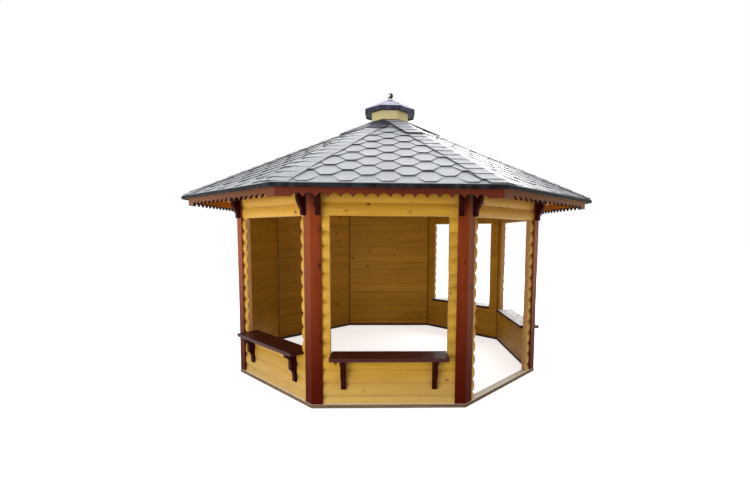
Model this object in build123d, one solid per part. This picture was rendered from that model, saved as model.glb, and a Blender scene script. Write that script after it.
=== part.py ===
from build123d import *
import math
import os

# Octagonal timber garden gazebo. Millimetres, +Z up, origin on the ground at the centre.
# Side 0 is the open entrance and faces -Y; the other sides follow counter-clockwise.

# ---- driving dimensions -------------------------------------------------------------------
RING_CORNER_R = 1950.0      # centre to an outer corner of the timber base ring
RING_H = 38.0               # height of the base ring
RING_LIP = 20.0             # how far the base ring stands out from the log wall

WALL_T = 56.0               # log board, inside face to outer crest
WALL_TOP = 2250.0           # top of the log boards
COURSE = 133.7              # height of one log board
FIRST_COURSE = 61.6         # the lowest board is cut down to this height
LOG_DEPTH = 22.0            # crest of a log board to the valley between two

HEADER_H = 398.0            # log boards over an opening
JAMB_W = 75.0               # log board ends that show between corner board and opening
SILL_TOP = 527.0            # top of a window sill

CORNER_BOARD_W = 105.0      # width of each leg of a corner board
CORNER_BOARD_T = 16.0       # its thickness outside the log crests

SILL_T = 35.0               # window sill board
SILL_OUT = 135.0            # reach of the sill outside the log crests
SILL_IN = 55.0              # reach of the sill inside the room
SILL_CLEARANCE = 1.0        # gap at each end of a sill
SILL_BRACKET_INSET = 125.0  # end of the opening to the middle of a sill bracket
SILL_BRACKET_T = 50.0
SILL_BRACKET_H = 307.0
SILL_BRACKET_REACH = 118.0  # at the sill
SILL_BRACKET_WAIST = 66.0   # half-way down
SILL_BRACKET_FOOT = 24.0    # at the bottom

ROOF_SLOPE = 26.6           # degrees
EAVE_OVERHANG = 542.0       # log crests to the edge of the eaves
ROOF_SEAT = 130.0           # log boards up to the roof surface, over their inside face
DECK_T = 24.0               # roof boarding, measured upright
DRIP_H = 30.0               # upright face of the drip edge
DRIP_T = 3.0
DRIP_FLANGE = 50.0          # leg of the drip edge that lies on the deck

FASCIA_INSET = 65.0         # eaves edge to the outer face of the fascia
FASCIA_T = 20.0
FASCIA_DROP = 67.0          # fascia below the drip edge
SCOOP_W = 101.5             # one half-round scoop of the fascia's lower edge
SCOOP_DEPTH = 32.0
SCOOP_TIP = 8.0             # flat tip between two scoops
FASCIA_PLAIN = 100.0        # least plain length at each end

RAFTER_W = 45.0
RAFTER_H = 100.0            # upright depth
HUB_APOTHEM = 90.0          # eight-sided block where the rafters meet
HUB_DROP = 60.0             # hub below the rafters

EAVE_BRACKET_T = 45.0       # two brackets at each corner, one on each leg of the corner board
EAVE_BRACKET_EDGE = 3.0     # from the bracket's side to the edge of its leg
EAVE_BRACKET_ARM = 240.0    # reach under the roof boarding
EAVE_BRACKET_BODY = 86.0    # reach below the arm
EAVE_BRACKET_FOOT = 38.0    # reach at the foot
EAVE_BRACKET_WAIST = 148.0  # foot of the bracket up to its body
EAVE_BRACKET_NECK = 190.0   # foot of the bracket up to its arm

DRUM_CORNER_R = 256.0       # eight-sided cupola drum
DRUM_T = 22.0
DRUM_H = 125.0              # roof surface up to the cupola roof
APRON_REACH = 410.0         # skirt of the metal apron, outward from the drum
APRON_T = 11.0
APRON_UPSTAND = 22.0        # against the drum, above the roof surface
CAP_OVERHANG = 90.0         # cupola roof beyond the drum
CAP_RIM_H = 55.0
CAP_SLOPE = 27.0
CAP_T = 15.0
FINIAL_BLOCK_W = 60.0
FINIAL_BLOCK_H = 8.0        # above the peak of the cupola roof
BALL_R = 43.0
SPIKE_H = 14.0
SPIKE_R = 5.0

SOLID_GAP = 0.6             # gap between neighbouring pieces of one node

# ---- sizes that follow ----------------------------------------------------------------------
SIDES = 8
HALF = 180.0 / SIDES
COS_H = math.cos(math.radians(HALF))
TAN_H = math.tan(math.radians(HALF))
SIN_H = math.sin(math.radians(HALF))

RING_OUT = RING_CORNER_R * COS_H
CREST = RING_OUT - RING_LIP
WALL_IN = CREST - WALL_T
CORNER_FACE = CREST + CORNER_BOARD_T
CORNER_BOARD_EDGE = CORNER_FACE * TAN_H - CORNER_BOARD_W
OPENING_W = 2 * (CORNER_BOARD_EDGE - JAMB_W)
OPENING_TOP = WALL_TOP - HEADER_H
SILL_BOTTOM = SILL_TOP - SILL_T

RISE = math.tan(math.radians(ROOF_SLOPE))
EAVE = CREST + EAVE_OVERHANG
EAVE_BOTTOM = WALL_TOP + ROOF_SEAT - (EAVE - WALL_IN) * RISE - DRIP_H
DECK_EDGE = EAVE - DRIP_T
FASCIA_OUT = EAVE - FASCIA_INSET
FASCIA_IN = FASCIA_OUT - FASCIA_T
FAR = 2 * EAVE              # beyond everything, for cutting shapes

SIDE_NAMES = ["front", "front_right", "right", "back_right",
              "back", "back_left", "left", "front_left"]
WINDOW_SIDES = [1, 2, 6, 7]
SOLID_SIDES = [3, 4, 5]
ENTRANCE_SIDE = 0


def deck_top(a):
    """Height of the deck's top surface at distance a from the axis, square to a side."""
    return EAVE_BOTTOM + DRIP_H + (EAVE - a) * RISE


def deck_under(a):
    return deck_top(a) - DECK_T


DRUM = DRUM_CORNER_R * COS_H
CAP = DRUM + CAP_OVERHANG
CAP_BOTTOM = deck_top(DRUM) + DRUM_H
CAP_RISE = math.tan(math.radians(CAP_SLOPE))
CAP_PEAK = CAP_BOTTOM + CAP_RIM_H + CAP * CAP_RISE


# ---- shared shapes --------------------------------------------------------------------------
def turned(shape, k):
    """Copy of a shape made for side 0, turned to side k. Half numbers are corners."""
    return shape.rotate(Axis.Z, 45.0 * k)


def sector(gap=0.0):
    """Everything inside the two mitre planes of side 0, less half a gap at each."""
    tip = gap / 2 / SIN_H
    half = TAN_H * (FAR - tip)
    outline = Polyline((0, -tip), (half, -FAR), (-half, -FAR), close=True)
    return extrude(make_face(outline), amount=FAR)


def octagon(apothem):
    corner = apothem / COS_H
    points = []
    for i in range(SIDES):
        angle = math.radians(45.0 * i + HALF)
        points.append((corner * math.cos(angle), corner * math.sin(angle)))
    return make_face(Polyline(*points, close=True))


def prism(apothem, bottom, top):
    return Pos(0, 0, bottom) * extrude(octagon(apothem), amount=top - bottom)


def pyramid(apothem, bottom, rise):
    """Solid eight-sided pyramid whose faces climb at the given rise."""
    corner = apothem / COS_H
    peak = (0, 0, bottom + apothem * rise)
    base = []
    for i in range(SIDES):
        angle = math.radians(45.0 * i + HALF)
        base.append((corner * math.cos(angle), corner * math.sin(angle), bottom))
    faces = [Face(Wire.make_polygon(base, close=True))]
    for i in range(SIDES):
        faces.append(Face(Wire.make_polygon([base[i], base[(i + 1) % SIDES], peak], close=True)))
    return Solid(Shell(faces))


def below_roof(height, apothem=FAR):
    """Everything under a roof surface; height gives the surface over distance a."""
    return pyramid(apothem, height(apothem), RISE)


def along_side(points, half_length):
    """Section in (distance out, height), run along side 0."""
    outline = Polyline(*[(-out, z) for out, z in points], close=True)
    face = Plane.YZ * make_face(outline)
    return extrude(face, amount=half_length, both=True)


def radial_plate(edges, thickness):
    """Outline in (distance out, height), set on edge and pointing along -Y."""
    plane = Plane(origin=(0, 0, 0), x_dir=(0, -1, 0), z_dir=(-1, 0, 0))
    return extrude(plane * make_face(edges), amount=thickness / 2, both=True)


def all_round(shape, corners=False):
    """Eight turned copies as one compound of separate solids."""
    shift = 0.5 if corners else 0.0
    return Compound(children=[turned(shape, k + shift) for k in range(SIDES)])


def write(name, shape):
    export_step(shape, f"parts/{name}.step")


# ---- log walls ------------------------------------------------------------------------------
FIRST_JOINT = RING_H + FIRST_COURSE
LOG_R = (COURSE ** 2 / 4 + LOG_DEPTH ** 2) / (2 * LOG_DEPTH)


def log_face(z, middle):
    """Distance out of a log board's rounded face at height z."""
    return CREST - LOG_R + math.sqrt(LOG_R ** 2 - (z - middle) ** 2)


def log_boards(bottom, top, joint):
    """Stack of log boards on side 0, flat inside and rounded outside.

    The boards meet at the height joint and at every COURSE above and below it.
    """
    board = math.floor((bottom - joint) / COURSE + 1e-6)
    edges = []
    low = bottom
    while low < top - 1e-6:
        middle = joint + (board + 0.5) * COURSE
        high = min(top, joint + (board + 1) * COURSE)
        points = [(-log_face(z, middle), z) for z in (low, (low + high) / 2, high)]
        edges.append(ThreePointArc(*points))
        low = high
        board += 1
    edges.append(Polyline(edges[-1] @ 1, (-WALL_IN, top), (-WALL_IN, bottom), edges[0] @ 0))
    face = Plane.YZ * make_face(edges)
    return extrude(face, amount=FAR, both=True) & sector()


def solid_wall():
    return log_boards(RING_H, WALL_TOP, FIRST_JOINT)


def lower_panel():
    return log_boards(RING_H, SILL_BOTTOM, FIRST_JOINT)


def jambs(bottom):
    """The two short log stacks beside an opening."""
    stack = log_boards(bottom, OPENING_TOP, FIRST_JOINT)
    opening = Pos(0, -CREST, OPENING_TOP / 2) * Box(OPENING_W, FAR / 2, OPENING_TOP * 2)
    return stack - opening


def header():
    return log_boards(OPENING_TOP, WALL_TOP, FIRST_JOINT)


# ---- corners and base -----------------------------------------------------------------------
def corner_board():
    """V of two mitred legs over the corner between side 0 and side 1."""
    legs = []
    for k, toward in ((0, -1), (1, 1)):
        run = CORNER_FACE * TAN_H
        leg = Pos(0, -(CREST + CORNER_BOARD_T / 2), (RING_H + WALL_TOP) / 2) * Box(
            2 * run + 2 * CORNER_BOARD_T, CORNER_BOARD_T, WALL_TOP - RING_H)
        keep = Pos(-toward * (CORNER_BOARD_EDGE + FAR / 2), -FAR / 2, FAR / 2) * Box(FAR, FAR, FAR)
        legs.append(turned(leg & sector() & keep, k))
    return legs[0] + legs[1]


def base_beam():
    points = [(RING_OUT, 0), (WALL_IN, 0), (WALL_IN, RING_H), (RING_OUT, RING_H)]
    return along_side(points, FAR / 2) & sector(SOLID_GAP)


# ---- sills and brackets ---------------------------------------------------------------------
def sill():
    depth = SILL_OUT + WALL_T + SILL_IN
    middle = CREST + SILL_OUT - depth / 2
    return Pos(0, -middle, SILL_TOP - SILL_T / 2) * Box(OPENING_W - 2 * SILL_CLEARANCE, depth, SILL_T)


def sill_bracket():
    """Bracket that narrows from the sill in two hollow steps to a rounded foot."""
    h = SILL_BRACKET_H
    top, waist, foot = SILL_BRACKET_REACH, SILL_BRACKET_WAIST, SILL_BRACKET_FOOT
    edges = [
        Polyline((0, -h), (0, 0), (top, 0), (top, -0.12 * h)),
        ThreePointArc((top, -0.12 * h), (0.82 * waist + 0.18 * top, -0.21 * h), (waist, -0.35 * h)),
        Line((waist, -0.35 * h), (waist, -0.55 * h)),
        ThreePointArc((waist, -0.55 * h), (0.75 * foot + 0.25 * waist, -0.68 * h), (foot, -0.84 * h)),
        Line((foot, -0.84 * h), (foot, -h + foot / 2)),
        ThreePointArc((foot, -h + foot / 2), (0.85 * foot, -h + 0.15 * foot), (foot / 2, -h)),
        Line((foot / 2, -h), (0, -h)),
    ]
    return Pos(0, -CREST, SILL_BOTTOM) * radial_plate(edges, SILL_BRACKET_T)


def eave_bracket():
    """Bracket square to side 0: rounded foot, swelling body, hollow sweep to a long arm."""
    low = OPENING_TOP
    face = CORNER_FACE
    arm, body, foot = face + EAVE_BRACKET_ARM, face + EAVE_BRACKET_BODY, face + EAVE_BRACKET_FOOT
    waist, neck = low + EAVE_BRACKET_WAIST, low + EAVE_BRACKET_NECK
    tip = deck_under(arm)
    nose = tip - EAVE_BRACKET_FOOT
    swell = low + 0.36 * EAVE_BRACKET_WAIST
    edges = [
        Polyline((face, low), (face, deck_under(face)), (arm, tip), (arm, nose)),
        ThreePointArc((arm, nose), (0.35 * arm + 0.65 * body, 0.62 * nose + 0.38 * neck), (body, neck)),
        Line((body, neck), (body, waist)),
        ThreePointArc((body, waist), (0.6 * body + 0.4 * foot, 0.5 * waist + 0.5 * swell), (foot, swell)),
        Line((foot, swell), (foot, low + 12)),
        ThreePointArc((foot, low + 12), (foot - 3.5, low + 3.5), (foot - 12, low)),
        Line((foot - 12, low), (face, low)),
    ]
    return radial_plate(edges, EAVE_BRACKET_T)


# ---- roof -----------------------------------------------------------------------------------
def wall_plate():
    """Bevelled timber from the log boards up to the roof boarding, between two rafters."""
    high = deck_top(WALL_IN)
    block = along_side([(CREST, WALL_TOP), (WALL_IN, WALL_TOP), (WALL_IN, high), (CREST, high)], FAR / 2)
    block = block & sector(RAFTER_W)
    return block & below_roof(deck_under)


def rafter():
    """Hip rafter under the corner between side 0 and side 1, notched over the wall."""
    def top(r):
        return deck_under(r * COS_H)

    inner, outer = 0.0, FASCIA_IN / COS_H
    edges = Polyline((inner, top(inner)), (outer, top(outer)), (outer, top(outer) - RAFTER_H),
                     (inner, top(inner) - RAFTER_H), close=True)
    beam = turned(radial_plate(edges, RAFTER_W), 0.5)
    beam = (beam & below_roof(deck_under)) & prism(FASCIA_IN, 0, FAR)
    beam = beam - prism(HUB_APOTHEM, 0, FAR)
    return beam - (prism(CORNER_FACE, 0, WALL_TOP) - prism(WALL_IN, 0, WALL_TOP))


def roof_hub():
    bottom = deck_under(HUB_APOTHEM) - RAFTER_H - HUB_DROP
    return prism(HUB_APOTHEM, bottom, FAR) & below_roof(deck_top)


def roof_deck():
    points = [(DECK_EDGE, deck_top(DECK_EDGE)), (DECK_EDGE, deck_under(DECK_EDGE)),
              (HUB_APOTHEM, deck_under(HUB_APOTHEM)), (HUB_APOTHEM, deck_top(HUB_APOTHEM))]
    return along_side(points, FAR / 2) & sector(SOLID_GAP)


def fascia():
    """Board with a row of half-round scoops along its lower edge."""
    bottom = EAVE_BOTTOM - FASCIA_DROP
    half = FASCIA_OUT * TAN_H
    scoops = int((2 * half - 2 * FASCIA_PLAIN) // SCOOP_W)
    start = -scoops * SCOOP_W / 2
    edges = [Line((-half, bottom), (start, bottom))]
    for i in range(scoops):
        left = start + i * SCOOP_W
        a, b = left + SCOOP_TIP / 2, left + SCOOP_W - SCOOP_TIP / 2
        edges.append(Line((left, bottom), (a, bottom)))
        edges.append(ThreePointArc((a, bottom), ((a + b) / 2, bottom + SCOOP_DEPTH), (b, bottom)))
        edges.append(Line((b, bottom), (left + SCOOP_W, bottom)))
    top = deck_top(FASCIA_IN)
    edges.append(Polyline((-start, bottom), (half, bottom), (half, top), (-half, top), (-half, bottom)))
    plane = Plane(origin=(0, -FASCIA_IN, 0), x_dir=(1, 0, 0), z_dir=(0, -1, 0))
    board = extrude(plane * make_face(edges), amount=FASCIA_T)
    return (board & sector(SOLID_GAP)) & below_roof(deck_under)


def drip_edge():
    inner = DECK_EDGE - DRIP_FLANGE
    points = [(EAVE, EAVE_BOTTOM), (DECK_EDGE, EAVE_BOTTOM), (DECK_EDGE, deck_top(DECK_EDGE)),
              (inner, deck_top(inner)), (inner, deck_top(inner) + DRIP_T), (EAVE, deck_top(EAVE) + DRIP_T)]
    return along_side(points, FAR / 2) & sector(SOLID_GAP)


# ---- cupola ---------------------------------------------------------------------------------
def cap_inside():
    """Hollow of the cupola roof, as far as its upper surface goes."""
    return pyramid(CAP + 400, CAP_BOTTOM + CAP_RIM_H - CAP_T - 400 * CAP_RISE, CAP_RISE)


def cupola_drum():
    """One panel of the drum, from the roof deck up into the cupola roof."""
    low, high = EAVE_BOTTOM, CAP_PEAK
    panel = along_side([(DRUM, low), (DRUM - DRUM_T, low), (DRUM - DRUM_T, high), (DRUM, high)], FAR / 2)
    return ((panel & sector(SOLID_GAP)) & cap_inside()) - below_roof(deck_top)


def roof_apron():
    """One side of the metal apron: a skirt on the roof and an upstand against the drum."""
    skirt = DRUM + APRON_REACH
    fold = DRUM + DRIP_T
    top = deck_top(DRUM) + APRON_UPSTAND
    points = [(skirt, deck_top(skirt)), (DRUM, deck_top(DRUM)), (DRUM, top), (fold, top),
              (fold, deck_top(fold) + APRON_T), (skirt, deck_top(skirt) + APRON_T)]
    return along_side(points, FAR / 2) & sector(SOLID_GAP)


def cupola_roof():
    rim_top = CAP_BOTTOM + CAP_RIM_H
    outside = prism(CAP, CAP_BOTTOM, rim_top) + pyramid(CAP, rim_top, CAP_RISE)
    hollow = cap_inside() & prism(CAP - CAP_T, 0, FAR)
    return outside - hollow


def finial_block():
    low = CAP_PEAK - FINIAL_BLOCK_W * CAP_RISE
    block = Pos(0, 0, (low + CAP_PEAK + FINIAL_BLOCK_H) / 2) * Box(
        FINIAL_BLOCK_W, FINIAL_BLOCK_W, CAP_PEAK + FINIAL_BLOCK_H - low)
    return block - pyramid(CAP, CAP_BOTTOM + CAP_RIM_H, CAP_RISE)


def finial_ball():
    """Ball on a short neck, with a small spike."""
    base = CAP_PEAK + FINIAL_BLOCK_H
    centre = base + BALL_R
    ball = Pos(0, 0, centre) * Sphere(BALL_R)
    neck = Pos(0, 0, base + 5) * Cylinder(0.45 * BALL_R, 10)
    spike = Pos(0, 0, centre + BALL_R + SPIKE_H / 2 - 2) * Cone(SPIKE_R, 1.5, SPIKE_H)
    return ball + neck + spike


# ---- build ----------------------------------------------------------------------------------
def main():
    os.makedirs("parts", exist_ok=True)
    write("base_ring", all_round(base_beam()))

    wall = solid_wall()
    for k in SOLID_SIDES:
        write(f"wall_{SIDE_NAMES[k]}", turned(wall, k))

    panel, window_jambs, head, board = lower_panel(), jambs(SILL_BOTTOM), header(), sill()
    for k in WINDOW_SIDES:
        write(f"wall_below_window_{SIDE_NAMES[k]}", turned(panel, k))
        write(f"window_jambs_{SIDE_NAMES[k]}", turned(window_jambs, k))
        write(f"window_header_{SIDE_NAMES[k]}", turned(head, k))
        write(f"window_sill_{SIDE_NAMES[k]}", turned(board, k))
    write("entrance_jambs", jambs(RING_H))
    write("entrance_header", head)

    offset = OPENING_W / 2 - SILL_BRACKET_INSET
    pair = [Pos(x, 0, 0) * sill_bracket() for x in (-offset, offset)]
    write("sill_brackets", Compound(children=[turned(b, k) for k in WINDOW_SIDES for b in pair]))

    corner = corner_board()
    for k in range(SIDES):
        after = SIDE_NAMES[(k + 1) % SIDES]
        write(f"corner_board_{SIDE_NAMES[k]}_to_{after}", turned(corner, k))
    offset = CORNER_BOARD_EDGE + EAVE_BRACKET_EDGE + EAVE_BRACKET_T / 2
    pair = [Pos(x, 0, 0) * eave_bracket() for x in (-offset, offset)]
    write("eave_brackets", Compound(children=[turned(b, k) for k in range(SIDES) for b in pair]))

    write("wall_plate", all_round(wall_plate()))
    write("hip_rafters", all_round(rafter()))
    write("roof_hub", roof_hub())
    write("roof_deck", all_round(roof_deck()))
    write("fascia", all_round(fascia()))
    write("drip_edge", all_round(drip_edge()))

    write("roof_apron", all_round(roof_apron()))
    write("cupola_drum", all_round(cupola_drum()))
    write("cupola_roof", cupola_roof())
    write("finial_block", finial_block())
    write("finial_ball", finial_ball())


main()
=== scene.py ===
import math
import random

import bpy
from mathutils import Matrix, Vector


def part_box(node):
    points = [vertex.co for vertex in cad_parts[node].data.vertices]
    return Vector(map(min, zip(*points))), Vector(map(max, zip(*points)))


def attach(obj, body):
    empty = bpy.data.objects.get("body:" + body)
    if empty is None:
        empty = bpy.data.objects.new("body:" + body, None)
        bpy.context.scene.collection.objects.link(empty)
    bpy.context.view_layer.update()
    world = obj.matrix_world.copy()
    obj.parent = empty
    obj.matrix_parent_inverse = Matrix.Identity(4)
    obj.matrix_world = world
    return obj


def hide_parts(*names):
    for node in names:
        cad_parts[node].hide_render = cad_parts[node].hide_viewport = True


# Octagonal timber garden gazebo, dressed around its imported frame. Metres.
# Side 0 is the open entrance and faces -Y; the other sides follow counter-clockwise.
# A shape for one side is made for side 0 and turned about the Z axis.

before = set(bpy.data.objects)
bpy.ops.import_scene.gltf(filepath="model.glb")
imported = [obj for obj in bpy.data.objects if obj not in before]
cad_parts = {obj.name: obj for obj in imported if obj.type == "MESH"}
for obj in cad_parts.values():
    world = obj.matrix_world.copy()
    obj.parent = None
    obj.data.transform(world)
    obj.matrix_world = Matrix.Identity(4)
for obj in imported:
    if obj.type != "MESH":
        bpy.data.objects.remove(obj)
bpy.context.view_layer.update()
random.seed(7)

# ---- sizes read from the frame ----
SIDES = 8
TURN = 2 * math.pi / SIDES
TAN_H = math.tan(TURN / 2)
SIDE_NAMES = ["front", "front_right", "right", "back_right",
              "back", "back_left", "left", "front_left"]
WINDOW_SIDES = [1, 2, 6, 7]
SOLID_SIDES = [3, 4, 5]


def low(node):
    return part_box(node)[0]


def high(node):
    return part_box(node)[1]


RING_H = high("base_ring").z
WALL_TOP = high("wall_back").z
WALL_IN = low("wall_back").y
CREST = high("wall_back").y
SILL_BOTTOM = low("window_sill_right").z
OPENING_HALF = high("window_sill_right").y + 0.001  # a sill ends just inside its opening
OPENING_TOP = low("entrance_header").z
CORNER_FACE = high("corner_board_right_to_back_right").x
EAVE = high("drip_edge").x
PEAK = high("roof_hub").z             # where the eight planes of the roof deck meet
DECK_EDGE = high("roof_deck").x
HUB = high("roof_hub").x
DECK_T = 0.024                        # roof boarding, measured upright
RISE = (PEAK - low("roof_deck").z - DECK_T) / DECK_EDGE
SLOPE = math.atan(RISE)
DRUM = high("cupola_drum").x
CAP = high("cupola_roof").x
CAP_BOTTOM = low("cupola_roof").z
CAP_PEAK = high("cupola_roof").z
APRON_TOP = high("roof_apron").z
APRON_EDGE = high("roof_apron").x

# ---- sizes of what is made here ----
COURSE = 0.1337                       # log board
FIRST_JOINT = RING_H + 0.0616
LOG_DEPTH = 0.022
GROOVE = 0.0035                       # V between two boards on the flat inside
GAP = 0.0006                          # between a board and the next

SHINGLE_PITCH = 0.345                 # from one hexagonal tab to the next
SHINGLE_ROW = 0.1385
SHINGLE_T = 0.0045
SHINGLE_START = 0.038                 # lowest row above the eaves edge
SHINGLE_SHIFT = -0.018                # pattern's place along the eaves
SHINGLE_FLAT = 0.27                   # lower edge of a tab, as a share of the pitch
SHINGLE_END = (EAVE - DRUM) / math.cos(SLOPE) - 0.03  # up the slope, short of the drum
TAB_T = 0.85 * SHINGLE_T              # one sheet; the rest is air between two
STARTER_UP = 0.017                    # straight row under the first, above the eaves edge
STARTER_LAYERS = 1.4                  # sheets that a row starts on, the air included
FIRST_LAYERS = 2.4
LAYERS = 3
FLAT_CURL = 0.002                     # how far a tab's corner lifts
LOOSE_CURL = 0.009
HIP_CAP_ROW = 0.1385
HIP_CAP_START = 0.095
HIP_CAP_LEFT = 0.158                  # from the hip to each edge of a cap
HIP_CAP_RIGHT = 0.135
HIP_CAP_LOOSE = 0.018                 # how far a cap's lower left corner lifts
HIP_LEAN = math.cos(math.atan(TAN_H * math.cos(SLOPE)))  # of the hip across a side's slope
CORNER_CAP = (0.019, 0.26)            # first cap: where it starts and ends
CORNER_LAYERS, CORNER_FALL = 3.8, 0.3  # sheets it starts on, and how many it sinks by
CAP_LAYERS, CAP_FALL, LAST_CAP_FALL = 4.8, 1.5, 2.4
SUNNY_CAP_LAYERS = 4.3
OVER_APRON = 0.014 / SHINGLE_T
APRON_LIFT = 0.023                    # apron above the roof deck
APRON_SHEET = 0.0012
CAPPED_HIP = 7                        # the hip whose caps run on over the apron
COVERED_SIDE = 0                      # its neighbour, shingled right up to the drum
SUNNY_SIDES = (0, 1, 2)               # shingles lie flat here, curl elsewhere
SUNNY_HIPS = (7, 0, 1)                # and so do the caps here
GLARE_SIDES = (1, 2)                # window sills with a painted glare on top
APRON_CUT = ((0.126, 0.396), (-0.071, 0.640))  # where shingles end on the apron: along, out
ROOF_BOARD = 0.121
ROOF_GROOVE = 0.004
CAP_RIM_H = 0.055
SCREW_HEIGHTS = [0.14, 0.52, 0.95, 1.38, 1.78]
SCREW_ASIDE = 0.055                   # from the corner

GRAIN_SPREAD = 40.0                   # metres of grain that pieces are cut from
GRIT_SPREAD = 9.0


# ---- meshes ---------------------
def distances(points):
    """Distance from the first point to each point, measured along them."""
    result = [0.0]
    for a, b in zip(points, points[1:]):
        result.append(result[-1] + (b - a).length)
    return result


def new_object(name, data):
    obj = bpy.data.objects.new(name, data)
    bpy.context.scene.collection.objects.link(obj)
    return obj


class Shape:
    """Points, faces and texture coordinates that become one piece."""

    def __init__(self):
        self.points = []
        self.faces = []
        self.coords = []
        self.slots = []
        self.tints = []

    def face(self, points, coords, slot, tint):
        start = len(self.points)
        self.points += [tuple(p) for p in points]
        self.faces.append(tuple(range(start, start + len(points))))
        self.coords += [tuple(c) for c in coords]
        self.slots.append(slot)
        self.tints.append(tint)

    def loft(self, rings, cap_slot=0, strips=()):
        """Closed skin over rings of points, with grain along them in metres.

        strips holds (point, slot) for the strips that aren't in slot 0.
        """
        u0, v0 = random.uniform(0, GRAIN_SPREAD), random.uniform(0, GRAIN_SPREAD)
        tint = random.random()
        count = len(rings[0])
        base = len(self.points)
        for ring in rings:
            self.points += [tuple(p) for p in ring]
        girth = [v0 + d for d in distances([*rings[0], rings[0][0]])]
        along = [u0 + d for d in distances([ring[0] for ring in rings])]
        odd = dict(strips)
        for r in range(len(rings) - 1):
            for i in range(count):
                a, b = base + r * count + i, base + r * count + (i + 1) % count
                self.faces.append((a, b, b + count, a + count))
                self.coords += [(along[r], girth[i]), (along[r], girth[i + 1]),
                                (along[r + 1], girth[i + 1]), (along[r + 1], girth[i])]
                self.slots.append(odd.get(i, 0))
                self.tints.append(tint)
        for r, order in ((0, -1), (len(rings) - 1, 1)):
            ids = [base + r * count + i for i in range(count)][::order]
            offsets = [Vector(self.points[i]) - rings[r][0] for i in ids]
            self.faces.append(tuple(ids))
            self.coords += [(u0 + d.z, v0 + math.hypot(d.x, d.y)) for d in offsets]
            self.slots.append(cap_slot)
            self.tints.append(tint)

    def turned(self, k):
        """The same shape turned to side k."""
        other = Shape()
        spin = Matrix.Rotation(TURN * k, 3, "Z")
        other.points = [tuple(spin @ Vector(p)) for p in self.points]
        other.faces, other.coords = list(self.faces), list(self.coords)
        other.slots, other.tints = list(self.slots), list(self.tints)
        return other

    def join(self, other):
        shift = len(self.points)
        self.points += other.points
        self.faces += [tuple(i + shift for i in f) for f in other.faces]
        self.coords += other.coords
        self.slots += other.slots
        self.tints += other.tints

    def piece(self, name, materials, slot, replaces=(), smooth=32):
        """Makes the object, smooth below an angle, and puts it on the body."""
        mesh = bpy.data.meshes.new(name)
        mesh.from_pydata(self.points, [], self.faces)
        layer = mesh.uv_layers.new(name="grain")
        layer.data.foreach_set("uv", [c for pair in self.coords for c in pair])
        tint = mesh.attributes.new("tint", "FLOAT", "FACE")
        tint.data.foreach_set("value", self.tints)
        mesh.polygons.foreach_set("material_index", self.slots)
        for each in materials:
            mesh.materials.append(each)
        mesh.update()
        mesh.validate()
        mesh.shade_smooth()
        mesh.set_sharp_from_angle(angle=math.radians(smooth))
        obj = new_object(name, mesh)
        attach(obj, "root")
        if replaces:
            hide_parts(*replaces)
        return obj


def at(x, out, z):
    """Point on side 0: along the side, out from the axis, up."""
    return Vector((x, -out, z))


def on_roof(x, up, lift):
    """Point on the roof of side 0: along the eaves, up the slope from their edge, off the deck."""
    out = EAVE - up * math.cos(SLOPE)
    return at(x, out + lift * math.sin(SLOPE), PEAK - out * RISE + lift * math.cos(SLOPE))


def all_round(shape):
    """The shape of side 0 on all eight sides."""
    whole = Shape()
    for k in range(SIDES):
        whole.join(shape.turned(k))
    return whole


def circle(centre, across, up, count):
    """Points round a centre in the plane of two half axes."""
    angles = [2 * math.pi * i / count for i in range(count)]
    return [centre + across * math.cos(a) + up * math.sin(a) for a in angles]


def clip(outline, keep):
    """Part of a flat outline where keep(point) is not negative."""
    result = []
    for i, b in enumerate(outline):
        a = outline[i - 1]
        ka, kb = keep(a), keep(b)
        if (ka < 0) != (kb < 0):
            t = ka / (ka - kb)
            result.append(tuple(p + t * (q - p) for p, q in zip(a, b)))
        if kb >= 0:
            result.append(b)
    return result


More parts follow.
